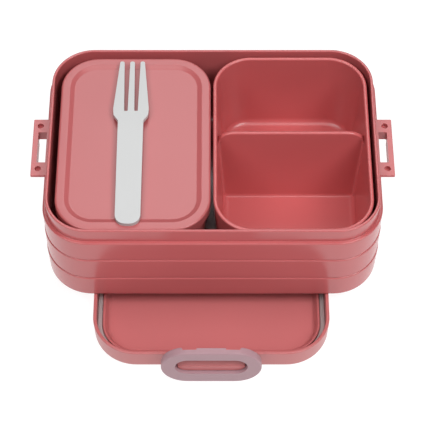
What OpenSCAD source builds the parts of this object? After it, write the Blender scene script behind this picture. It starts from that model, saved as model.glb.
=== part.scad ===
// Bento lunch box, opened: the outer lid lies upturned, the outer body stands
// across it, and the inner box, the divided tray and the fork are in the body.
// Origin: on the table under the middle of the whole object, which is also the
// middle of the upturned lid's length. +X runs along the body, -Y is the front
// and +Z is up. All sizes are in millimetres.

/* [Outer body] */
// Length of the body over its bands
body_len = 170.6; // [168:0.2:180]
// Width of the body over its bands
body_wid = 120; // [120:1:126]
// Height of the body
body_h = 56; // [52:1:62]
// Corner radius of the bands
body_r = 23.5; // [20:0.5:25]
// Height of the rim that enters the lid
rim_h = 8.5; // [7:0.5:10]
// Width of the ledge round the rim
ledge_w = 1.8; // [1.4:0.1:2.0]
// Thickness of the rim
rim_wall = 1.5; // [1.2:0.1:1.7]
// How far the body stands back from the lid's middle
body_back = 9; // [0:1:12]

/* [Ears of the body] */
// Length of an ear along the body's end
ear_len = 36; // [33:0.5:36]
// How far an ear stands out
ear_out = 7.2; // [7.2:0.1:8]
// Thickness of the ear plate
ear_plate = 1.6; // [1.2:0.1:2]
// Length of the ear's slot
ear_slot_len = 19.3; // [17:0.1:20]
// Width of the ear's slot
ear_slot_w = 4.4; // [4.3:0.1:4.5]
// Depth of the slot's collar
ear_collar_h = 6; // [4:0.5:7]
// Diameter of the two round holes
ear_hole_d = 3.3; // [3:0.1:3.6]
// Distance between the two round holes
ear_hole_gap = 27.4; // [26.6:0.1:27.8]

/* [Outer lid] */
// Length of the lid
lid_len = 171; // [171:1:173]
// Width of the lid
lid_wid = 121; // [121:1:123]
// Height of the lid
lid_h = 13; // [13:0.5:14]
// Corner radius of the lid
lid_r = 22.5; // [20:0.5:25]
// Thickness of the skirt at its edge
skirt_w = 1.8; // [1.6:0.1:2]
// Thickness of the lid's panel
panel_t = 2; // [1.8:0.1:2.2]
// Width of the seal groove
groove_w = 2.8; // [2.6:0.1:3]
// Height of the seal
seal_h = 3.9; // [2:0.1:4]
// Height of the rib inside the seal
rib_h = 6.6; // [5:0.1:7]
// How far the lid lies to the left of the body's middle
lid_left = 0.7; // [0:0.1:1]

/* [Clips] */
// Length of a clip
clip_len = 50.6; // [49:0.1:52]
// Height of a clip
clip_h = 27.4; // [27:0.1:28]
// Depth of a clip at its shoulders
clip_t = 4.6; // [4.4:0.1:4.8]
// Length of the finger slot
slot_len = 36.4; // [36:0.1:37]
// Height of the finger slot
slot_h = 13; // [12.5:0.1:13]
// Width of the catch hook
hook_w = 14.7; // [12:0.1:16]
// Diameter of the hinge stubs
stub_d = 3; // [2.8:0.1:3.2]
// Radial clearance of the stubs in the clip
stub_clear = 0.05; // [0.03:0.01:0.08]

/* [Inner box] */
// Width of the inner box over its lid
inner_wid = 77.8; // [74:0.1:78.4]
// Length of the inner box over its lid
inner_len = 109.8; // [104:0.1:110.2]
// Corner radius of the inner lid
inner_r = 19.5; // [16:0.5:21]
// Height of the inner lid's skirt
inner_skirt_h = 6.5; // [5:0.5:8]
// Width of the inner lid's raised border
border_w = 7; // [6:0.5:8]
// Depth of the inner lid's recessed panel
recess_h = 1; // [0.6:0.1:1.4]

/* [Tray] */
// Width of the tray
tray_wid = 80.2; // [76:0.1:81]
// Length of the tray
tray_len = 111.6; // [106:0.1:112]
// Corner radius of the tray
tray_r = 20; // [19:0.5:22]
// Thickness of the tray's walls
tray_wall = 2; // [1.6:0.1:2.2]
// How far the walls lean in over their height
tray_lean = 3.4; // [2.5:0.1:4.5]
// Where the divider's top edge runs, from the tray's middle
divider_y = 6.5; // [0:0.5:12]
// How far the divider's ends dip at the side walls
divider_dip = 8.5; // [6:0.5:10]

/* [Fork] */
// Length of the fork
fork_len = 103.4; // [98:0.1:106]
// Width of the handle
handle_w = 13; // [10:0.5:14]
// Greatest width of the head
head_w = 18.3; // [16:0.1:20]
// Thickness of the fork
fork_t = 2.2; // [1.8:0.1:2.6]

/* [Hidden] */
$fn = 96;
// Overlap that joins solids, and overshoot of cuts
lap = 0.6;
// Gap between pieces that rest on each other
rest_gap = 0.1;
// Small cut that breaks a sharp edge
edge_cut = 0.4;

// Outer body
body_z = lid_h + rest_gap;
ledge_z = body_h - rim_h;
band_pitch = 16.3;
band_step = 0.4;
groove_h = 0.5;
groove_in = 1;
body_floor = 2;
inner_face = ledge_w + rim_wall;
wall_draft = 0.9;
foot_edge = 1.4;
floor_fillet = 4;
foot_slope = 0.6;
floor_lap = 4;
rib_x = -0.5;
rib_w = 0.8;
rib_depth = 1.2;
insert_top = body_h - 2.5;
rib_top = insert_top - 4;

// Ears
collar_wall = 1.2;
ear_root = 2;
boss_d = 4.8;
boss_floor = 0.7;
hole_x = body_len / 2 + 3.6;
hole_depth = 2.1;
slot_x = body_len / 2 + 0.1;
catch_h = 8.3;
catch_w = 16;
catch_t = body_len / 2 + ear_out - slot_x - ear_slot_w;

// Lid
lid_edge = 2.2;
lid_draft = 0.5;
groove_x = skirt_w + groove_w;
rib_w_lid = 1.2;
rib_slope = 1.8;
seal_gap = 0.05;
seal_edge = 0.5;
lid_root = 3;
rib_cut = 0.3;
lid_ear_t = 4.2;
lid_ear_lap = 1.2;
lid_ear_hole_x = 7;
lid_ear_hole_y = 2.7;
lid_ear_hole_depth = 3;

// Hinge and clip
pivot_z = 4.3;
pivot_out = 4.8;
block_len = 24;
block_r = 2.4;
stub_len = 2;
hinge_gap = 0.3;
clip_bottom = 0.3;
clip_front_out = 8.9;
slot_bottom = 8.5;
boss_r = 3;
boss_len = 5;
pocket_depth = 10;
bar_t = 2.7;
hook_t = 3.6;
shoulder_x = 14.3;
shoulder_round = 1.8;

// Inner box
insert_floor = body_floor + rest_gap;
inner_x = -39.9;
inner_y = -0.6;
inner_skirt_t = 1.4;
inner_plate = 1.5;
inner_edge = 1.2;
inner_root = 2;
recess_slope = 2.4;
inner_wall = 1.6;
inner_floor = 1.6;
inner_lean = 3;
inner_fillet = 6;
snap_gap = 0.2;
foot_cut = 3;
tub_edge = 0.5;

// Tray
tray_x = 40.3;
tray_y = -0.6;
tray_floor = 2.6;
tray_fillet = 4;
divider_top_t = 2;
divider_spread = 4.9;
divider_round = 9;
divider_drop = 1;
core_share = 0.75;

// Fork
fork_x = -42;
fork_y = -1.6;
tine_gap_w = 1.8;
tine_gap_end = 3;
tine_len = 33.5;
tine_pitch = 2.65;
tip_w = 13;
head_len = 40;
shoulder_h = 5;
shoulder_r = 2.6;
tip_r = 0.9;

// A rounded rectangle
module rounded(len, wid, r) {
  square([len - 2 * r, wid], center = true);
  square([len, wid - 2 * r], center = true);
  for (sx = [-1, 1], sy = [-1, 1])
    translate([sx * (len / 2 - r), sy * (wid / 2 - r)]) circle(r);
}

// A wall section carried round a rounded rectangle: the section's x is
// outward from the rectangle's edge and its y is height
module around(len, wid, r) {
  hx = len / 2 - r;
  hy = wid / 2 - r;
  for (turn = [0 : 3])
    translate([turn == 0 || turn == 3 ? hx : -hx, turn < 2 ? hy : -hy, 0])
      rotate([0, 0, 90 * turn])
        rotate_extrude(angle = 90) translate([r, 0]) children();
  for (turn = [0, 180]) rotate([0, 0, turn]) {
    translate([hx, hy, 0]) rotate([90, 0, 0])
      linear_extrude(2 * hy) translate([r, 0]) children();
    rotate([0, 0, 90]) translate([hy, hx, 0]) rotate([90, 0, 0])
      linear_extrude(2 * hx) translate([r, 0]) children();
  }
}

// The material left in an inside corner by a round of radius r
module corner_fill(r) {
  difference() {
    square(r);
    translate([r, r]) circle(r);
  }
}

// One band of the outside wall: it starts at a ledge and leans in to a groove
function band(top, bottom) = [
  [-groove_in, top], [-edge_cut, top], [0, top - edge_cut],
  [-band_step, bottom + groove_h], [-groove_in, bottom + groove_h]
];

// Section of the body's wall, from its outside face
module body_section() {
  root = inner_face + floor_fillet + 2;
  polygon(concat(
    [[-inner_face, body_h], [-ledge_w - edge_cut, body_h],
     [-ledge_w, body_h - edge_cut], [-ledge_w, ledge_z]],
    band(ledge_z, 2 * band_pitch),
    band(2 * band_pitch, band_pitch),
    [[-groove_in, band_pitch], [-edge_cut, band_pitch],
     [0, band_pitch - edge_cut], [-band_step, foot_edge + foot_slope],
     [-band_step - foot_edge, 0], [-root, 0], [-root, body_floor],
     [-inner_face - wall_draft, body_floor]]
  ));
  translate([-inner_face - wall_draft + lap / 2, body_floor - lap / 2])
    mirror([1, 0]) corner_fill(floor_fillet);
}

// One ear: a slotted plate with a collar, two blind bosses and the clip's catch
module ear() {
  out_x = body_len / 2 + ear_out;
  difference() {
    union() {
      translate([body_len / 2 - ear_root, -ear_len / 2, ledge_z - ear_plate])
        cube([ear_out + ear_root, ear_len, ear_plate]);
      translate([body_len / 2 - ear_root, -ear_slot_len / 2 - collar_wall,
                 ledge_z - ear_collar_h])
        cube([ear_out + ear_root, ear_slot_len + 2 * collar_wall, ear_collar_h]);
      translate([out_x - catch_t, -catch_w / 2, ledge_z - catch_h])
        cube([catch_t, catch_w, catch_h]);
      for (s = [-1, 1])
        translate([hole_x, s * ear_hole_gap / 2, ledge_z - hole_depth - boss_floor])
          cylinder(d = boss_d, h = hole_depth);
    }
    translate([slot_x, -ear_slot_len / 2, 0])
      cube([ear_slot_w, ear_slot_len, body_h]);
    for (s = [-1, 1])
      translate([hole_x, s * ear_hole_gap / 2, ledge_z - hole_depth])
        cylinder(d = ear_hole_d, h = hole_depth + 1);
  }
}

module outer_body() {
  color([0.66, 0.43, 0.44]) translate([0, body_back, body_z]) {
    around(body_len, body_wid, body_r) body_section();
    inset = inner_face + floor_lap;
    linear_extrude(body_floor)
      rounded(body_len - 2 * inset, body_wid - 2 * inset, body_r - inset);
    ear();
    mirror([1, 0, 0]) ear();
    for (s = [-1, 1])
      translate([rib_x - rib_w / 2, s > 0 ? body_wid / 2 - inner_face - rib_depth
                 : -body_wid / 2 + inner_face - lap, body_floor - lap])
        cube([rib_w, rib_depth + lap, rib_top]);
  }
}

// Section of the upturned lid's wall, from its outside face
module lid_section() {
  back_x = groove_x + rib_w_lid;
  foot_x = back_x + rib_slope;
  hair = 0.001;
  difference() {
    polygon([
      [-skirt_w, lid_h], [-edge_cut, lid_h], [0, lid_h - edge_cut],
      [-lid_draft, lid_edge], [-lid_draft - lid_edge, 0],
      [-foot_x - lid_root, 0], [-foot_x - lid_root, panel_t], [-foot_x, panel_t],
      [-back_x, rib_h - rib_cut], [-back_x + rib_cut, rib_h], [-groove_x, rib_h],
      [-groove_x, panel_t + seal_gap], [-skirt_w, panel_t + seal_gap]
    ]);
    translate([-lid_draft - lid_edge - hair, -hair]) difference() {
      square(lid_edge + 2 * hair);
      translate([0, lid_edge]) circle(lid_edge);
    }
  }
}

// A slot outline: len long and h high, centred
module stadium(len, h) {
  square([len - h, h], center = true);
  for (s = [-1, 1]) translate([s * (len - h) / 2, 0]) circle(h / 2);
}

// A plate that stands upright, from front_y back by depth
module upright(front_y, depth, mid_z) {
  translate([0, front_y + depth, mid_z]) rotate([90, 0, 0])
    linear_extrude(depth) children();
}

// End view of the lid's ear: its lower corners follow the clip's finger slot,
// which the ear reaches into
module lid_ear_outline() {
  intersection() {
    translate([-ear_len / 2, lid_h - lid_ear_t]) square([ear_len, lid_ear_t]);
    translate([0, slot_bottom + slot_h / 2])
      stadium(slot_len - 2 * hinge_gap, slot_h - 2 * hinge_gap);
  }
}

// The lid's ear and hinge block at its -Y end
module lid_ear() {
  wall_y = -lid_len / 2;
  difference() {
    upright(wall_y - ear_out, ear_out + lid_ear_lap, 0) lid_ear_outline();
    for (s = [-1, 1])
      translate([s * lid_ear_hole_x, wall_y - lid_ear_hole_y, lid_h - lid_ear_hole_depth])
        cylinder(d = ear_hole_d, h = lid_ear_hole_depth + 1);
  }
  translate([-block_len / 2, wall_y - pivot_out, pivot_z - block_r])
    cube([block_len, pivot_out + lid_ear_lap, 2 * block_r]);
  translate([0, wall_y - pivot_out, pivot_z]) rotate([0, 90, 0]) {
    cylinder(r = block_r, h = block_len, center = true);
    cylinder(d = stub_d, h = block_len + 2 * stub_len, center = true);
  }
}

module outer_lid() {
  inset = groove_x + rib_w_lid + rib_slope + lid_root / 2;
  color([0.78, 0.46, 0.47]) translate([-lid_left, 0, 0]) {
    around(lid_wid, lid_len, lid_r) lid_section();
    linear_extrude(panel_t)
      rounded(lid_wid - 2 * inset, lid_len - 2 * inset, lid_r - inset);
    lid_ear();
    rotate([0, 0, 180]) lid_ear();
  }
}

module lid_seal() {
  outer = skirt_w + seal_gap;
  inner = groove_x - seal_gap;
  bottom = panel_t + 2 * seal_gap;
  top = bottom + seal_h;
  color([0.58, 0.55, 0.55]) translate([-lid_left, 0, 0]) around(lid_wid, lid_len, lid_r)
    polygon([[-outer, bottom], [-outer, top - seal_edge], [-outer - seal_edge, top],
             [-inner + seal_edge, top], [-inner, top - seal_edge], [-inner, bottom]]);
}

// Plan of the recess between the clip's hook and its round shoulder
module clip_recess() {
  translate([hook_w / 2, bar_t])
    square([shoulder_x - hook_w / 2, clip_t]);
  translate([shoulder_x - lap, clip_t - shoulder_round]) difference() {
    square([shoulder_round + lap, clip_t]);
    translate([shoulder_round + lap, 0]) circle(shoulder_round);
  }
}

// The clip at the lid's -Y end
module clip() {
  wall_y = -lid_len / 2;
  front_y = wall_y - clip_front_out;
  pivot_y = wall_y - pivot_out;
  pocket_w = block_len + 2 * hinge_gap;
  pocket_y = pivot_y - block_r - hinge_gap;
  slot_z = slot_bottom + slot_h / 2;
  difference() {
    union() {
      difference() {
        upright(front_y, clip_t, clip_bottom + clip_h / 2) stadium(clip_len, clip_h);
        for (s = [0, 1]) mirror([s, 0, 0])
          translate([0, front_y, slot_z]) linear_extrude(clip_h) clip_recess();
        translate([-hook_w / 2 - lap, front_y + hook_t, slot_z])
          cube([hook_w + 2 * lap, clip_t, clip_h]);
      }
      for (s = [-1, 1])
        translate([s > 0 ? pocket_w / 2 : -pocket_w / 2 - boss_len, pivot_y, pivot_z])
          rotate([0, 90, 0]) cylinder(r = boss_r, h = boss_len);
    }
    upright(front_y - lap, clip_t + 2 * lap, slot_z) stadium(slot_len, slot_h);
    translate([-pocket_w / 2, pocket_y, -lap])
      cube([pocket_w, pocket_depth, pivot_z + block_r + hinge_gap + lap]);
    translate([0, pivot_y, pivot_z]) rotate([0, 90, 0])
      cylinder(d = stub_d + 2 * stub_clear, h = block_len + 2 * stub_len + 2 * lap,
               center = true);
  }
}

module clip_front() {
  color([0.78, 0.61, 0.64]) translate([-lid_left, 0, 0]) clip();
}

module clip_rear() {
  color([0.78, 0.61, 0.64]) translate([-lid_left, 0, 0]) rotate([0, 0, 180]) clip();
}

// A tub with leaning walls and a rounded foot, from its rim's outline
module tub(wid, len, r, low, high, lean, wall, base, fillet) {
  around(wid, len, r) {
    polygon([[-wall, high], [-tub_edge, high], [0, high - tub_edge],
             [-lean, low + foot_cut], [-lean - foot_cut, low],
             [-lean - wall - fillet, low],
             [-lean - wall - fillet, low + base], [-lean - wall, low + base]]);
    translate([-lean - wall + lap / 2, low + base - lap / 2])
      mirror([1, 0]) corner_fill(fillet);
  }
  inset = lean + wall + fillet - 1;
  translate([0, 0, low]) linear_extrude(base)
    rounded(wid - 2 * inset, len - 2 * inset, r - inset);
}

module inner_box() {
  edge = 2 * (inner_skirt_t + snap_gap);
  high = insert_top - inner_plate - recess_h - rest_gap;
  color([0.62, 0.3, 0.32])
    translate([inner_x, body_back + inner_y, body_z])
      tub(inner_wid - edge, inner_len - edge, inner_r - edge / 2,
          insert_floor, high, inner_lean, inner_wall, inner_floor, inner_fillet);
}

module inner_lid() {
  root = border_w + inner_root;
  plate_z = insert_top - inner_plate;
  color([0.8, 0.53, 0.54])
    translate([inner_x, body_back + inner_y, body_z]) {
      around(inner_wid, inner_len, inner_r)
        polygon([[0, insert_top - inner_skirt_h], [0, insert_top - inner_edge],
                 [-edge_cut, insert_top - edge_cut], [-inner_edge, insert_top],
                 [-border_w + recess_slope, insert_top], [-border_w, insert_top - recess_h],
                 [-root, insert_top - recess_h],
                 [-root, plate_z - recess_h], [-inner_skirt_t, plate_z - recess_h],
                 [-inner_skirt_t, insert_top - inner_skirt_h]]);
      translate([0, 0, plate_z - recess_h]) linear_extrude(inner_plate)
        rounded(inner_wid - 2 * root + 2, inner_len - 2 * root + 2, inner_r - root + 1);
    }
}

// Section across the divider: two leaning walls that meet at a narrow top edge
module divider_section() {
  low = insert_floor + tray_floor / 2;
  top = insert_top - divider_drop;
  polygon([[-divider_top_t / 2, top], [divider_top_t / 2, top],
           [divider_top_t / 2 + divider_spread, low],
           [-divider_top_t / 2 - divider_spread, low]]);
}

// Side view of the divider: it ends inside the leaning side walls, and its
// rounded shoulders dip towards them
module divider_outline() {
  top = insert_top - divider_drop;
  half = tray_wid / 2 - tray_wall / 2;
  shoulder = half - divider_round;
  dip_half = half - tray_lean * divider_dip / insert_top;
  polygon([[-half + tray_lean, insert_floor], [-dip_half, top - divider_dip],
           [dip_half, top - divider_dip], [half - tray_lean, insert_floor]]);
  translate([-shoulder, insert_floor]) square([2 * shoulder, top - insert_floor]);
  for (s = [-1, 1])
    translate([s * shoulder, top - divider_round]) circle(divider_round);
}

// The hollow under the divider, open at the tray's foot
module divider_core() {
  half = divider_spread + divider_top_t / 2 - tray_wall;
  high = insert_top * core_share;
  rotate([90, 0, 90])
    linear_extrude(tray_wid - 2 * tray_lean - 2 * tray_fillet, center = true)
      polygon([[-half, 0], [half, 0], [0.4, high], [-0.4, high]]);
}

module divided_tray() {
  color([0.68, 0.32, 0.34])
    translate([tray_x, body_back + tray_y, body_z]) difference() {
      union() {
        tub(tray_wid, tray_len, tray_r, insert_floor, insert_top, tray_lean,
            tray_wall, tray_floor, tray_fillet);
        translate([0, divider_y, 0]) intersection() {
          rotate([90, 0, 90]) linear_extrude(tray_wid, center = true) divider_section();
          translate([0, 20, 0]) rotate([90, 0, 0]) linear_extrude(40) divider_outline();
        }
      }
      translate([0, divider_y, 0]) divider_core();
    }
}

// Outline of the fork before its tines are cut: a handle with a round end and
// a tapered head with round shoulders
module fork_outline() {
  half = fork_len / 2;
  neck_y = half - head_len;
  difference() {
    polygon([[-handle_w / 2, -half], [-handle_w / 2, neck_y], [-head_w / 2, neck_y],
             [-head_w / 2, neck_y + shoulder_h], [-tip_w / 2, half], [tip_w / 2, half],
             [head_w / 2, neck_y + shoulder_h], [head_w / 2, neck_y],
             [handle_w / 2, neck_y], [handle_w / 2, -half]]);
    for (s = [0, 1]) mirror([s, 0]) {
      translate([-handle_w / 2, -half]) corner_fill(handle_w / 2);
      translate([-head_w / 2, neck_y]) corner_fill(shoulder_r);
    }
  }
}

module fork() {
  half = fork_len / 2;
  color([0.86, 0.88, 0.87])
    translate([fork_x, body_back + fork_y, body_z + insert_top + rest_gap])
      linear_extrude(fork_t) difference() {
        fork_outline();
        for (s = [-1, 1]) {
          translate([s * tine_pitch, half - tine_len])
            polygon([[-tine_gap_w / 2, 0], [tine_gap_w / 2, 0],
                     [tine_gap_end / 2, tine_len + 1], [-tine_gap_end / 2, tine_len + 1]]);
          translate([s * tip_w / 2, half]) rotate([0, 0, 45])
            square(2 * tip_r, center = true);
        }
      }
}

outer_body();
outer_lid();
lid_seal();
clip_front();
clip_rear();
inner_box();
inner_lid();
divided_tray();
fork();
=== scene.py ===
"""Looks of the opened bento lunch box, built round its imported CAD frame.

The object's lengths are in millimetres and become metres as a mesh is made.
The camera, the floor and the lights are placed in metres. The shells and the
seal are sections with rounded edges, carried round a rounded rectangle. Ears,
hinges and the divider are joined to them. The clips and the fork are outlines
pushed to their depth and softened.
"""

import math

import bmesh
import bpy
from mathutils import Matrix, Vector


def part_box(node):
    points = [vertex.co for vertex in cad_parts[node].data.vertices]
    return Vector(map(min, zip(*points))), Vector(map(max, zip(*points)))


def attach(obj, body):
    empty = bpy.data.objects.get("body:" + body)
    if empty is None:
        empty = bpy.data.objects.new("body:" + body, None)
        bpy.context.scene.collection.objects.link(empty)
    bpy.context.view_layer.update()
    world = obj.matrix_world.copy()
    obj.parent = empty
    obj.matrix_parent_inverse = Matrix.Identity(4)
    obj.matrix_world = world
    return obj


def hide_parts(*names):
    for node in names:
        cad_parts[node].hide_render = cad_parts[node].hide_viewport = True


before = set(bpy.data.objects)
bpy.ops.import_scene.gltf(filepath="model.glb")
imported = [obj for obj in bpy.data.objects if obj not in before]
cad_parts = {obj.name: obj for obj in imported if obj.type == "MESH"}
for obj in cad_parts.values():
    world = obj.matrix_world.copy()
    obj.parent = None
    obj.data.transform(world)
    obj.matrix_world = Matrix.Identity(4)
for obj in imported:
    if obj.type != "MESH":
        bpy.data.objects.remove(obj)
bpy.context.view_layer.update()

MM = 0.001
CORNER_STEPS = 18
EDGE_STEPS = 4
SMOOTH_ANGLE = math.radians(38)
FLAT_ANGLE = math.radians(0.5)
WELD_GAP = 0.002


# ---------------------------------------------------------------- camera

CAMERA_ELEVATION = 55.0
CAMERA_PLACE = Vector((-0.0006, -0.5289, 0.7713))
CAMERA_LENS = 147.9


def make_camera():
    """The camera looks along +Y and down by its elevation."""
    data = bpy.data.cameras.new("camera")
    data.sensor_width = 36
    data.lens = CAMERA_LENS
    data.clip_start = 0.05
    camera = bpy.data.objects.new("camera", data)
    camera.location = CAMERA_PLACE
    camera.rotation_euler = (math.radians(90 - CAMERA_ELEVATION), 0, 0)
    bpy.context.scene.collection.objects.link(camera)
    bpy.context.scene.camera = camera


make_camera()


# ------------------------------------------------------- places and sizes

def box_mm(node):
    """Lowest and highest corner of a CAD node, in millimetres."""
    low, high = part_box(node)
    return low / MM, high / MM


body_low, body_high = box_mm("outer_body")
lid_low, lid_high = box_mm("outer_lid")
seal_low, seal_high = box_mm("lid_seal")
inner_box_low, inner_box_high = box_mm("inner_box")
inner_lid_low, inner_lid_high = box_mm("inner_lid")
tray_low, tray_high = box_mm("divided_tray")
fork_low, fork_high = box_mm("fork")
clip_low, clip_high = box_mm("clip_front")

LID_EAR_LEN = 34.0
LID_EAR_OUT = 7.2
EAR_HOLE = 3.3


def plan(low, high, ears_x=0.0, ears_y=0.0):
    """Size and centre of a node seen from above, less the ears at its ends."""
    size = (high.x - low.x - 2 * ears_x, high.y - low.y - 2 * ears_y)
    centre = ((high.x + low.x) / 2, (high.y + low.y) / 2)
    return size, centre


# ------------------------------------------------------------- mesh tools

def rounded_corner(before, corner, after, radius, steps):
    """The points of a round that replaces one corner of an outline."""
    to_before = (before - corner).normalized()
    to_after = (after - corner).normalized()
    half = to_before.angle(to_after) / 2
    if radius <= 0 or half > math.radians(88):
        return [corner]
    reach = radius / math.tan(half)
    centre = corner + (to_before + to_after).normalized() * (radius / math.sin(half))
    start = corner + to_before * reach - centre
    end = corner + to_after * reach - centre
    turn = start.angle_signed(end)
    points = []
    for i in range(steps + 1):
        angle = -turn * i / steps
        cos, sin = math.cos(angle), math.sin(angle)
        points.append(centre + Vector((start.x * cos - start.y * sin,
                                       start.x * sin + start.y * cos)))
    return points


def rounded_line(points, closed=False, steps=EDGE_STEPS):
    """An outline whose points are (x, y) or (x, y, radius of the corner)."""
    count = len(points)
    places = [Vector(p[:2]) for p in points]
    line = []
    for i, point in enumerate(points):
        radius = point[2] if len(point) > 2 else 0
        inside = closed or 0 < i < count - 1
        if inside and radius:
            line += rounded_corner(places[i - 1], places[i],
                                   places[(i + 1) % count], radius, steps)
        else:
            line.append(places[i])
    return line


def rectangle_ring(size, radius, out, steps=CORNER_STEPS):
    """Points round a rounded rectangle, moved outward by out."""
    half_x = size[0] / 2 - radius
    half_y = size[1] / 2 - radius
    ring = []
    for quarter, (sx, sy) in enumerate(((1, 1), (-1, 1), (-1, -1), (1, -1))):
        for i in range(steps + 1):
            angle = math.pi / 2 * (quarter + i / steps)
            reach = max(radius + out, 0.05)
            ring.append((sx * half_x + reach * math.cos(angle),
                         sy * half_y + reach * math.sin(angle)))
    return ring


def new_object(name, mesh_code):
    """An object from a bmesh, with its faces turned outwards."""
    bmesh.ops.recalc_face_normals(mesh_code, faces=mesh_code.faces)
    mesh = bpy.data.meshes.new(name)
    mesh_code.to_mesh(mesh)
    mesh_code.free()
    piece = bpy.data.objects.new(name, mesh)
    bpy.context.scene.collection.objects.link(piece)
    return piece


def loft(name, rings, closed=False):
    """A solid skinned over rings of points with as many points each."""
    made = bmesh.new()
    loops = [[made.verts.new(Vector(p) * MM) for p in ring] for ring in rings]
    following = loops[1:] + ([loops[0]] if closed else [])
    for low, high in zip(loops, following):
        for i in range(len(low)):
            j = (i + 1) % len(low)
            made.faces.new((low[i], low[j], high[j], high[i]))
    if not closed:
        made.faces.new(loops[0][::-1])
        made.faces.new(loops[-1])
    return new_object(name, made)


def sweep(name, section, size, radius, centre, base=0.0, closed=False):
    """A section carried round a rounded rectangle. The section's first number
    is outward from the rectangle's edge, and its second is height over base."""
    rings = [[(x + centre[0], y + centre[1], height + base)
              for x, y in rectangle_ring(size, radius, out)]
             for out, height in section]
    return loft(name, rings, closed)


def prism(name, outline, low, high, axis="Z"):
    """An outline pushed from low to high along Z, or upright along X or Y.
    Along X the outline's points are (y, z), and along Y they are (x, z)."""
    place = {"Z": lambda a, b, c: (a, b, c), "Y": lambda a, b, c: (a, c, b),
             "X": lambda a, b, c: (c, a, b)}[axis]
    return loft(name, [[place(p[0], p[1], end) for p in outline] for end in (low, high)])


def circle(centre, radius, steps=40):
    """Points round a circle."""
    return [(centre[0] + radius * math.cos(2 * math.pi * i / steps),
             centre[1] + radius * math.sin(2 * math.pi * i / steps))
            for i in range(steps)]


def stadium(length, height, centre, steps=20):
    """A slot outline with full-round ends."""
    straight = (length - height) / 2
    points = []
    for side, start in ((1, -0.5), (-1, 0.5)):
        for i in range(steps + 1):
            angle = math.pi * (start + i / steps)
            points.append((centre[0] + side * straight + height / 2 * math.cos(angle),
                           centre[1] + height / 2 * math.sin(angle)))
    return points


def settle(piece):
    """Applies the piece's modifiers to its mesh."""
    bpy.context.view_layer.update()
    shown = piece.evaluated_get(bpy.context.evaluated_depsgraph_get())
    mesh = bpy.data.meshes.new_from_object(shown)
    piece.modifiers.clear()
    old = piece.data
    piece.data = mesh
    bpy.data.meshes.remove(old)
    return piece


def edit_mesh(piece, edit):
    """Runs edit on the piece's mesh, as a bmesh."""
    made = bmesh.new()
    made.from_mesh(piece.data)
    edit(made)
    made.to_mesh(piece.data)
    made.free()


def bevel(piece, width, segments, angle):
    """Rounds every edge that is sharper than the angle."""
    change = piece.modifiers.new("bevel", "BEVEL")
    change.width = width * MM
    change.segments = segments
    change.limit_method = "ANGLE"
    change.angle_limit = math.radians(angle)
    return settle(piece)


def combine(piece, tool, operation):
    """Joins tool to the piece, or cuts it away, and uses the tool up."""
    change = piece.modifiers.new("combine", "BOOLEAN")
    change.operation = operation
    change.solver = "EXACT"
    change.object = tool
    settle(piece)
    bpy.data.objects.remove(tool)
    return piece


def join(piece, *tools):
    """Joins each tool to the piece."""
    for tool in tools:
        combine(piece, tool, "UNION")
    return piece


def cut(piece, *tools):
    """Cuts each tool away from the piece."""
    for tool in tools:
        combine(piece, tool, "DIFFERENCE")
    return piece


def soften(piece, width, segments=3, angle=40):
    """Merges the piece's flat faces and then rounds its sharp edges."""
    edit_mesh(piece, lambda made: bmesh.ops.dissolve_limit(
        made, angle_limit=FLAT_ANGLE, verts=made.verts, edges=made.edges))
    return bevel(piece, width, segments, angle)


def finish_piece(piece, material, body, node):
    """Shades the piece smoothly, gives it its finish, sets what it rides on
    and hides the CAD node it stands for."""
    edit_mesh(piece, lambda made: bmesh.ops.remove_doubles(
        made, verts=made.verts, dist=WELD_GAP * MM))
    mesh = piece.data
    mesh.polygons.foreach_set("use_smooth", [True] * len(mesh.polygons))
    mesh.set_sharp_from_angle(angle=SMOOTH_ANGLE)
    weigh = piece.modifiers.new("flat faces stay flat", "WEIGHTED_NORMAL")
    weigh.keep_sharp = True
    settle(piece)
    piece.data.materials.clear()
    piece.data.materials.append(material)
    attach(piece, body)
    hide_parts(node)


# -------------------------------------------------------------- materials

# About how often a metre each pattern repeats, how far the colour and the gloss
# drift as a share, and how deep the grain is.
COLOUR_SCALE = 14
GLOSS_SCALE = 45
GRAIN_SCALE = 1500
COLOUR_DRIFT = 0.012
GLOSS_DRIFT = 0.06
GRAIN_DEPTH = 0.2


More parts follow.
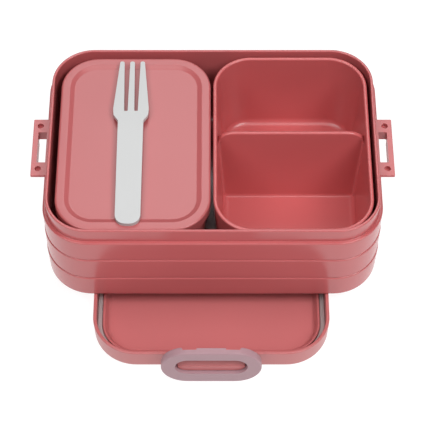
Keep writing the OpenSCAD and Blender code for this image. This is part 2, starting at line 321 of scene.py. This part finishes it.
def plastic(name, colour, roughness, grain=0.02, ior=1.5):
    """Moulded plastic: its colour drifts slightly, its surface has a fine grain,
    and its gloss varies as handling leaves it."""
    material = bpy.data.materials.new(name)
    material.use_nodes = True
    nodes, links = material.node_tree.nodes, material.node_tree.links
    shader = nodes["Principled BSDF"]
    place = nodes.new("ShaderNodeTexCoord")

    def noise(scale, detail):
        texture = nodes.new("ShaderNodeTexNoise")
        texture.inputs["Scale"].default_value = scale
        texture.inputs["Detail"].default_value = detail
        links.new(place.outputs["Object"], texture.inputs["Vector"])
        return texture.outputs["Fac"]

    # Noise seldom comes near 0 or 1, so the ramp's ends stand at twice the drift.
    tone = nodes.new("ShaderNodeValToRGB")
    tone.color_ramp.interpolation = "EASE"
    for element, share in zip(tone.color_ramp.elements, (-2 * COLOUR_DRIFT, 2 * COLOUR_DRIFT)):
        element.color = (*[c * (1 + share) for c in colour], 1)
    links.new(noise(COLOUR_SCALE, 2), tone.inputs["Fac"])
    links.new(tone.outputs["Color"], shader.inputs["Base Color"])

    gloss = nodes.new("ShaderNodeMapRange")
    gloss.clamp = False
    gloss.inputs["To Min"].default_value = roughness * (1 - GLOSS_DRIFT)
    gloss.inputs["To Max"].default_value = roughness * (1 + GLOSS_DRIFT)
    links.new(noise(GLOSS_SCALE, 2), gloss.inputs["Value"])
    links.new(gloss.outputs["Result"], shader.inputs["Roughness"])

    bump = nodes.new("ShaderNodeBump")
    bump.inputs["Strength"].default_value = grain
    bump.inputs["Distance"].default_value = GRAIN_DEPTH * MM
    links.new(noise(GRAIN_SCALE, 2), bump.inputs["Height"])
    links.new(bump.outputs["Normal"], shader.inputs["Normal"])
    shader.inputs["IOR"].default_value = ior
    return material


body_plastic = plastic("body_plastic", (0.52, 0.116, 0.12), 0.2, ior=1.55)
# The lid's plastic is paler than the body's: painted sheen for the pale haze on its upturned floor.
lid_plastic = plastic("lid_plastic", (0.53, 0.145, 0.147), 0.33, ior=1.6)
insert_plastic = plastic("insert_plastic", (0.49, 0.118, 0.122), 0.3, ior=1.6)
# The tray's plastic is a lighter, redder copy of the insert plastic: painted light on its shaded
# inner walls.
tray_plastic = plastic("tray_plastic", (0.58, 0.12, 0.122), 0.3, ior=1.6)
clip_plastic = plastic("clip_plastic", (0.41, 0.245, 0.275), 0.42, grain=0.06)
seal_rubber = plastic("seal_rubber", (0.46, 0.385, 0.38), 0.45, grain=0.08)
fork_plastic = plastic("fork_plastic", (0.57, 0.575, 0.575), 0.35, grain=0.04)


# ------------------------------------------------------------- outer body

RIM_HEIGHT = 8.5
LEDGE = 1.8
RIM_WALL = 1.5
BAND_PITCH = 16.3
BODY_RADIUS = 23.5
BODY_FLOOR = 2.0
GROOVE_IN = 1.0
GROOVE_HEIGHT = 0.35
BAND_LEAN = 0.35
EAR_LEN = 36.0
EAR_OUT = 7.2
EAR_PLATE = 1.6
EAR_ROOT = 1.5
EAR_ROUND = 0.5
EAR_EDGE = 0.25
EAR_SLOT_WIDTH = 4.4
EAR_SLOT_LEN = 19.3
COLLAR_DEPTH = 6.0
COLLAR_WALL = 1.2
CATCH_DEPTH = 8.3
CATCH_WIDTH = 2.8
CATCH_LEN = 16.0
HOLE_OUT = 3.6
HOLE_SPAN = 27.4
HOLE_DEPTH = 2.1
BOSS = 4.8


def band_points(top, bottom):
    """Outside of one band, from its rounded ledge down to the groove under it."""
    return [(0, top, 0.7), (-BAND_LEAN, bottom + GROOVE_HEIGHT, 0.2),
            (-GROOVE_IN, bottom + GROOVE_HEIGHT + 0.1, 0.15), (-GROOVE_IN, bottom, 0.15)]


def body_ear(side, size, centre):
    """A slotted ear: a thin plate, the collar round its slot, the catch under
    its bar and two bosses with blind holes."""
    wall_x = size[0] / 2
    out_x = wall_x + EAR_OUT
    top = body_high.z - RIM_HEIGHT
    root_x = wall_x - EAR_ROOT

    def span(x0, x1):
        return sorted((side * x0, side * x1))

    def slab(name, x0, x1, length, depth):
        left, right = span(x0, x1)
        near, far = centre[1] - length / 2, centre[1] + length / 2
        left_round, right_round = (0, EAR_ROUND) if side > 0 else (EAR_ROUND, 0)
        outline = rounded_line([(left, near, left_round), (right, near, right_round),
                                (right, far, right_round), (left, far, left_round)], closed=True)
        return soften(prism(name, outline, top - depth, top), EAR_EDGE)

    ear = slab("ear", root_x, out_x, EAR_LEN, EAR_PLATE)
    join(ear, slab("collar", root_x, out_x - 0.05, EAR_SLOT_LEN + 2 * COLLAR_WALL, COLLAR_DEPTH))
    join(ear, slab("catch", out_x - 0.1 - CATCH_WIDTH, out_x - 0.1, CATCH_LEN, CATCH_DEPTH))
    for end in (-1, 1):
        place = (side * (wall_x + HOLE_OUT), centre[1] + end * HOLE_SPAN / 2)
        boss = prism("boss", circle(place, BOSS / 2), top - HOLE_DEPTH - 0.7, top - 0.5)
        join(ear, soften(boss, 0.2))
        cut(ear, prism("hole", circle(place, EAR_HOLE / 2), top - HOLE_DEPTH, top + 1))
    left, right = span(wall_x + 0.1, wall_x + 0.1 + EAR_SLOT_WIDTH)
    near, far = centre[1] - EAR_SLOT_LEN / 2, centre[1] + EAR_SLOT_LEN / 2
    slot = rounded_line([(left, near, 0.3), (right, near, 0.3), (right, far, 0.3), (left, far, 0.3)],
                        closed=True, steps=3)
    cut(ear, prism("slot", slot, top - 20, top + 5))
    return ear


def make_body():
    """The outer body: a plain rim over three bands, with an ear at each end."""
    size, centre = plan(body_low, body_high, ears_x=EAR_OUT)
    height = body_high.z - body_low.z
    inner = LEDGE + RIM_WALL
    section = rounded_line(
        [(-inner - 12, BODY_FLOOR), (-inner - 0.9, BODY_FLOOR, 4),
         (-inner, height, 0.5), (-LEDGE, height, 0.55),
         (-LEDGE, height - RIM_HEIGHT, 0.3)]
        + band_points(height - RIM_HEIGHT, 2 * BAND_PITCH)
        + band_points(2 * BAND_PITCH, BAND_PITCH)
        + [(0, BAND_PITCH, 0.7), (-0.6, 0, 1.8), (-16, 0)])
    body = sweep("body_shell", section, size, BODY_RADIUS, centre, body_low.z)
    for side in (-1, 1):
        join(body, body_ear(side, size, centre))
    finish_piece(body, body_plastic, "body", "outer_body")


make_body()


# -------------------------------------------------------------- outer lid

LID_RADIUS = 22.5
SKIRT = 1.8
SEAL_GROOVE = 2.8
SEAL_RIB = 1.2
RIB_HEIGHT = 6.6
PANEL = 2.0
SEAL_EASE = 0.05
SEAL_DIP = 0.25
SEAL_LIP = 1.0
LID_EAR_ROOT = 1.2
LID_HOLE_OUT = 2.7
LID_HOLE_SPAN = 14.0
LID_HOLE_DEPTH = 3.0
PIVOT_HEIGHT = 4.3
PIVOT_OUT = 4.8
HINGE_BLOCK = 24.0
HINGE_ROUND = 2.4
STUB = 3.0
STUB_REACH = 2.0
BORE_GAP = 0.05
SLOT_LENGTH = 36.4
SLOT_HEIGHT = 13.0
SLOT_BOTTOM = 8.5
CLIP_DEPTH = 4.6
BAR_DEPTH = 2.7
HOOK_DEPTH = 3.6
HOOK_WIDTH = 14.7
SHOULDER = 14.3
SHOULDER_ROUND = 1.8
CLIP_ROUND = 0.9
INSIDE_ROUND = 0.45
HINGE_BOSS = 6.0
CLIP_GAP = 0.3


def lid_ear(end, middle, wall_y, height):
    """The lid's ear, with two blind holes, and the hinge block under it with its
    two stubs. The ear's underside follows the lower arcs of the clip's slot."""
    front = wall_y + LID_EAR_OUT
    root = wall_y - LID_EAR_ROOT
    half = LID_EAR_LEN / 2
    slot_round = SLOT_HEIGHT / 2 - CLIP_GAP
    slot_end = (SLOT_LENGTH - SLOT_HEIGHT) / 2
    slot_z = SLOT_BOTTOM + SLOT_HEIGHT / 2
    last = math.acos((half - slot_end) / slot_round)
    side = [(half, height)]
    for i in range(11):
        angle = last + (math.pi / 2 - last) * i / 10
        side.append((slot_end + slot_round * math.cos(angle),
                     slot_z - slot_round * math.sin(angle)))
    outline = [(x + middle, z) for x, z in side] + [(middle - x, z) for x, z in reversed(side)]
    ear = prism("ear", outline, *sorted((end * root, end * front)), axis="Y")
    soften(ear, 0.35)
    for side_x in (-1, 1):
        place = (middle + side_x * LID_HOLE_SPAN / 2, end * (wall_y + LID_HOLE_OUT))
        cut(ear, prism("hole", circle(place, EAR_HOLE / 2), height - LID_HOLE_DEPTH, height + 1))
    pivot = (end * (wall_y + PIVOT_OUT), PIVOT_HEIGHT)
    nose = []
    for i in range(17):
        angle = math.pi * (i / 16 - 0.5)
        nose.append((pivot[0] + end * HINGE_ROUND * math.cos(angle),
                     pivot[1] + HINGE_ROUND * math.sin(angle)))
    nose += [(end * root, pivot[1] + HINGE_ROUND), (end * root, pivot[1] - HINGE_ROUND)]
    block = HINGE_BLOCK / 2
    hinge = soften(prism("hinge", nose, middle - block, middle + block, "X"), 0.25)
    reach = block + STUB_REACH
    stub = prism("stub", circle(pivot, STUB / 2), middle - reach, middle + reach, "X")
    return ear, join(hinge, soften(stub, 0.25))


def make_lid():
    """The upturned lid: a skirt, the seal's groove with its rib, a flat panel
    and an ear at each end. The grey seal ring lies in the groove."""
    size, centre = plan(lid_low, lid_high, ears_y=LID_EAR_OUT)
    height = lid_high.z - lid_low.z
    groove = SKIRT + SEAL_GROOVE
    rib = groove + SEAL_RIB
    section = rounded_line([
        (-rib - 14, PANEL), (-rib - 1.8, PANEL, 2), (-rib, RIB_HEIGHT, 0.5),
        (-groove, RIB_HEIGHT, 0.35), (-groove, PANEL + SEAL_EASE, 0.2),
        (-SKIRT, PANEL + SEAL_EASE, 0.2), (-SKIRT, height, 0.45), (0, height, 0.6),
        (-0.5, 0, 2.2), (-20, 0)])
    lid = sweep("lid_shell", section, size, LID_RADIUS, centre, lid_low.z)
    for end in (-1, 1):
        join(lid, *lid_ear(end, centre[0], size[1] / 2, height))
    finish_piece(lid, lid_plastic, "lid", "outer_lid")
    outer, inner = -SKIRT - SEAL_EASE, -groove + SEAL_EASE
    seal_top, seal_dip = seal_high.z, seal_high.z - SEAL_DIP
    seal_section = rounded_line([
        (outer, seal_low.z, 0.2), (outer, seal_top, 0.7), (-SKIRT - SEAL_LIP, seal_dip, 0.5),
        (-groove + SEAL_LIP, seal_dip, 0.5), (inner, seal_top, 0.7), (inner, seal_low.z, 0.2)],
        closed=True)
    seal = sweep("seal_ring", seal_section, size, LID_RADIUS, centre, closed=True)
    finish_piece(seal, seal_rubber, "lid", "lid_seal")


make_lid()


# ------------------------------------------------------------------ clips

def make_clip(end, body, node):
    """A ring clip. It is made upright at one end of the lid, with the catch
    hook and the shoulders on its back, and the hinge pocket at its foot."""
    wall = (lid_high.y - lid_low.y) / 2 - LID_EAR_OUT
    front = max(abs(clip_low.y), abs(clip_high.y))
    back = front - CLIP_DEPTH
    middle_x = (clip_high.x + clip_low.x) / 2
    width = clip_high.x - clip_low.x
    height = clip_high.z - clip_low.z
    slot_z = SLOT_BOTTOM + SLOT_HEIGHT / 2
    near_x = HOOK_WIDTH / 2

    def upright(name, outline, near, far):
        outline = [(x + middle_x, z) for x, z in outline]
        return prism(name, outline, *sorted((end * near, end * far)), axis="Y")

    above = clip_high.z + 10
    outline = stadium(width, height, (0, clip_low.z + height / 2), 28)
    clip = upright("clip", outline, front, back)
    soften(clip, CLIP_ROUND, 5)
    beyond_x, beyond_y = SHOULDER + 9, back - 5
    recess = rounded_line([(near_x, front - BAR_DEPTH), (SHOULDER, front - BAR_DEPTH),
                           (SHOULDER, back, SHOULDER_ROUND), (beyond_x, back),
                           (beyond_x, beyond_y), (near_x, beyond_y)], closed=True, steps=8)
    for side in (-1, 1):
        outline = [(side * x + middle_x, end * y) for x, y in recess]
        cut(clip, prism("recess", outline, slot_z, above))
    hook_x = near_x + 0.5
    outline = [(-hook_x, slot_z), (hook_x, slot_z), (hook_x, above), (-hook_x, above)]
    cut(clip, upright("hook_face", outline, front - HOOK_DEPTH, beyond_y))
    cut(clip, upright("slot", stadium(SLOT_LENGTH, SLOT_HEIGHT, (0, slot_z)), front + 2, front - 12))
    soften(clip, INSIDE_ROUND, 4, 50)
    pivot = (end * (wall + PIVOT_OUT), PIVOT_HEIGHT)
    pocket = HINGE_BLOCK / 2 + CLIP_GAP
    for side in (-1, 1):
        x0, x1 = sorted((side * (pocket - 0.2), side * (pocket + 5)))
        boss = prism("boss", circle(pivot, HINGE_BOSS / 2), x0 + middle_x, x1 + middle_x, "X")
        join(clip, soften(boss, 0.3))
    pocket_top = PIVOT_HEIGHT + HINGE_ROUND + CLIP_GAP
    hollow = [(-pocket, -2), (pocket, -2), (pocket, pocket_top), (-pocket, pocket_top)]
    cut(clip, upright("pocket", hollow, wall + PIVOT_OUT + HINGE_ROUND + CLIP_GAP, wall - 4))
    reach = HINGE_BLOCK / 2 + STUB_REACH + 0.5
    bore = circle(pivot, STUB / 2 + BORE_GAP)
    cut(clip, prism("bore", bore, middle_x - reach, middle_x + reach, "X"))
    clip.name = body + "_ring"
    finish_piece(clip, clip_plastic, body, node)


make_clip(-1, "front_clip", "clip_front")
make_clip(1, "rear_clip", "clip_rear")


# -------------------------------------------------------------- inner box

INNER_RADIUS = 19.5
INNER_SKIRT = 1.4
SNAP_GAP = 0.2
BORDER = 4.6
SLOPE = 2.4
RECESS = 1.0
CAP_PLATE = 1.5
BOX_WALL = 1.6
BOX_LEAN = 3.0


def make_inner_box():
    """The inner lid, a cap with a raised border, and the small tub under it."""
    size, centre = plan(inner_lid_low, inner_lid_high)
    top = inner_lid_high.z
    plate_low = top - RECESS - CAP_PLATE
    lid_section = rounded_line([
        (-BORDER - 12, top - RECESS), (-BORDER - SLOPE, top - RECESS, 1.5),
        (-BORDER, top, 1.5), (0, top, 1.1), (0, inner_lid_low.z, 0.4),
        (-INNER_SKIRT, inner_lid_low.z, 0.3), (-INNER_SKIRT, plate_low, 0.4),
        (-BORDER - 10, plate_low)])
    lid = sweep("inner_lid_cap", lid_section, size, INNER_RADIUS, centre)
    finish_piece(lid, insert_plastic, "inner_lid", "inner_lid")

    edge = INNER_SKIRT + SNAP_GAP
    low, high = inner_box_low.z, inner_box_high.z
    box_size = (size[0] - 2 * edge, size[1] - 2 * edge)
    box_section = rounded_line([
        (-16, low + BOX_WALL), (-BOX_LEAN - BOX_WALL, low + BOX_WALL, 5),
        (-BOX_WALL, high, 0.4), (0, high, 0.5), (-BOX_LEAN, low, 3.5), (-18, low)])
    box = sweep("inner_box_tub", box_section, box_size, INNER_RADIUS - edge, centre)
    finish_piece(box, insert_plastic, "inner_box", "inner_box")


make_inner_box()


# ----------------------------------------------------------- divided tray

TRAY_RADIUS = 20.0
TRAY_WALL = 2.0
TRAY_LEAN = 3.4
TRAY_FLOOR = 2.6
TRAY_FILLET = 3.5
DIVIDER_Y = 6.5
DIVIDER_TOP = 2.0
DIVIDER_SPREAD = 4.9
DIVIDER_DROP = 1.0
DIVIDER_ROUND = 9.0
JUNCTION_ROUND = 1.6
LIP = 0.85
CORE_HEIGHT = 38.0
CORE_TOP = 0.8
CORE_END = 7.0
BURIED = 0.5


def flare(distance, radius):
    """How much a fillet of that radius adds at a distance from the corner."""
    if distance >= radius:
        return 0.0
    near = radius - max(distance, 0.0)
    return radius - math.sqrt(max(radius * radius - near * near, 0.0))


def divider(size, centre):
    """The tray's divider: its faces lean, its shoulders are rounded, and it
    flares into the floor and the side walls."""
    floor = tray_low.z + TRAY_FLOOR
    top = tray_high.z - DIVIDER_DROP
    depth = tray_high.z - floor
    half_top = size[0] / 2 - TRAY_WALL
    shoulder = half_top - DIVIDER_ROUND

    def wall_x(z):
        return half_top - TRAY_LEAN * (tray_high.z - z) / depth

    def top_at(x):
        over = min(max(abs(x) - shoulder, 0.0), DIVIDER_ROUND * 0.999)
        return top - DIVIDER_ROUND + math.sqrt(DIVIDER_ROUND ** 2 - over ** 2)

    def half_thickness(x, z):
        lean = DIVIDER_SPREAD * (top - z) / (top - floor)
        return (DIVIDER_TOP / 2 + lean + flare(z - floor, JUNCTION_ROUND)
                + flare(wall_x(z) - abs(x), JUNCTION_ROUND))

    rings = []
    columns, rows, cap = 72, 26, 6
    for i in range(columns + 1):
        u = -math.cos(math.pi * i / columns)
        peak = top_at(u * half_top) - LIP
        faces = []
        for j in range(rows + 1):
            z = (floor - BURIED) + (peak - floor + BURIED) * (j / rows) ** 1.5
            x = u * (wall_x(z) + BURIED)
            faces.append((x, z, half_thickness(x, z)))
        ring = [(centre[0] + x, centre[1] + DIVIDER_Y - t, z) for x, z, t in faces]
        x, z, t = faces[-1]
        for k in range(1, cap):
            angle = math.pi * k / cap
            ring.append((centre[0] + x, centre[1] + DIVIDER_Y - t * math.cos(angle),
                         z + LIP * math.sin(angle)))
        ring += [(centre[0] + x, centre[1] + DIVIDER_Y + t, z) for x, z, t in reversed(faces)]
        rings.append(ring)
    return loft("divider", rings)


def make_tray():
    """The tray: a tub whose walls lean in towards its floor, its divider, and
    the hollow under the divider that keeps it thin."""
    size, centre = plan(tray_low, tray_high)
    low, top = tray_low.z, tray_high.z
    inner = TRAY_WALL + TRAY_LEAN
    section = rounded_line([
        (-inner - 9, low + TRAY_FLOOR), (-inner, low + TRAY_FLOOR, TRAY_FILLET),
        (-TRAY_WALL, top, 0.8), (0, top, 0.8), (-TRAY_LEAN, low, 4), (-16, low)],
        steps=6)
    tray = sweep("tray_tub", section, size, TRAY_RADIUS, centre)
    join(tray, divider(size, centre))
    foot = DIVIDER_SPREAD + DIVIDER_TOP / 2 - TRAY_WALL
    reach = size[0] / 2 - TRAY_LEAN - CORE_END
    middle = centre[1] + DIVIDER_Y
    core = [(middle - foot, low - 1), (middle + foot, low - 1),
            (middle + CORE_TOP / 2, low + CORE_HEIGHT), (middle - CORE_TOP / 2, low + CORE_HEIGHT)]
    cut(tray, prism("core", core, centre[0] - reach, centre[0] + reach, "X"))
    finish_piece(tray, tray_plastic, "tray", "divided_tray")


make_tray()


# ------------------------------------------------------------------- fork

FORK_ARCH = 0.8
FORK_SLICES = 34
FORK_HANDLE = 13.0
TINE_LEN = 33.5


def make_fork():
    """The fork: a handle with a rounded end, a wider head and three tines. It is
    cut into slices so that it can be bent into its slight arch."""
    centre_x = (fork_high.x + fork_low.x) / 2
    back, tip = fork_low.y, fork_high.y
    handle = FORK_HANDLE / 2
    head = (fork_high.x - fork_low.x) / 2
    gap_end = tip - TINE_LEN
    outer_tip, inner_tip = 6.4, 4.2
    middle_tip, middle_root = 1.2, 1.7
    half = [(handle, gap_end - 6.2, 0.8), (head - 0.3, gap_end - 2.6, 2.4),
            (head, gap_end + 1.5, 3), (outer_tip, tip, 0.95), (inner_tip, tip, 0.95),
            (middle_root + 1.8, gap_end, 0.4), (middle_root, gap_end, 0.4), (middle_tip, tip, 1.1)]
    right = [(handle - 0.2, back, 5.2)] + half
    left = [(-p[0], *p[1:]) for p in reversed(right)]
    outline = rounded_line(right + left, closed=True, steps=6)
    outline = [(x + centre_x, y) for x, y in outline]
    fork = prism("fork_body", outline, fork_low.z, fork_high.z)

    def slice_across(made):
        for i in range(1, FORK_SLICES):
            y = back + (tip - back) * i / FORK_SLICES
            bmesh.ops.bisect_plane(made, geom=made.verts[:] + made.edges[:] + made.faces[:],
                                   plane_co=(0, y * MM, 0), plane_no=(0, 1, 0))

    edit_mesh(fork, slice_across)
    bevel(fork, 0.65, 4, 50)
    for vertex in fork.data.vertices:
        along = min(max((vertex.co.y / MM - back) / (tip - back), 0.0), 1.0)
        vertex.co.z += FORK_ARCH * MM * abs(math.sin(math.pi * along)) ** 1.2
    finish_piece(fork, fork_plastic, "fork", "fork")


make_fork()


# --------------------------------------------------------- floor and light

def make_floor():
    """A plain pale floor that reaches past every view."""
    made = bmesh.new()
    reach, drop = 3.0, 0.0002
    corners = [made.verts.new((x * reach, y * reach, -drop))
               for x, y in ((-1, -1), (1, -1), (1, 1), (-1, 1))]
    made.faces.new(corners)
    floor = new_object("floor", made)
    material = bpy.data.materials.new("floor_paper")
    material.use_nodes = True
    nodes, links = material.node_tree.nodes, material.node_tree.links
    shader = nodes["Principled BSDF"]
    noise = nodes.new("ShaderNodeTexNoise")
    noise.inputs["Scale"].default_value = 300
    tone = nodes.new("ShaderNodeValToRGB")
    for element, grey in zip(tone.color_ramp.elements, (0.24, 0.26)):
        element.color = (grey, grey, grey, 1)
    links.new(noise.outputs["Fac"], tone.inputs["Fac"])
    links.new(tone.outputs["Color"], shader.inputs["Base Color"])
    shader.inputs["Roughness"].default_value = 0.9
    shader.inputs["Specular IOR Level"].default_value = 0.1
    shader.inputs["Emission Color"].default_value = (1, 1, 1, 1)
    shader.inputs["Emission Strength"].default_value = 0.88
    floor.data.materials.append(material)


# Each soft box's name, place in metres, width and height, and power in watts.
SOFT_BOXES = (
    ("overhead", (0, -0.1, 1.2), (0.7, 0.7), 3.3),
    ("front_left_box", (-0.54, -0.44, 0.99), (0.6, 0.5), 5.2),
    ("front_right_box", (0.54, -0.44, 0.99), (0.6, 0.5), 8.0),
    ("back_box", (0, 0.69, 0.98), (0.6, 0.5), 2.8),
    ("low_left_box", (-1.1, -0.5, 0.31), (0.8, 0.4), 0.5),
    ("low_right_box", (1.1, -0.5, 0.31), (0.8, 0.4), 1.4),
)
LIT_PLACE = Vector((0, 0, 0.03))


def make_light():
    """Soft boxes aimed at the object in an otherwise dark studio: one overhead,
    two at the front corners, one at the back and two weak ones at the sides."""
    world = bpy.data.worlds.new("studio")
    bpy.context.scene.world = world
    world.use_nodes = True
    world.node_tree.nodes["Background"].inputs["Strength"].default_value = 0.0
    for name, place, size, power in SOFT_BOXES:
        data = bpy.data.lights.new(name, "AREA")
        data.shape = "RECTANGLE"
        data.size, data.size_y = size
        data.energy = power
        light = bpy.data.objects.new(name, data)
        light.location = place
        light.rotation_euler = (LIT_PLACE - Vector(place)).to_track_quat("-Z", "Y").to_euler()
        bpy.context.scene.collection.objects.link(light)


make_floor()
make_light()
bpy.context.scene.view_settings.view_transform = "Standard"
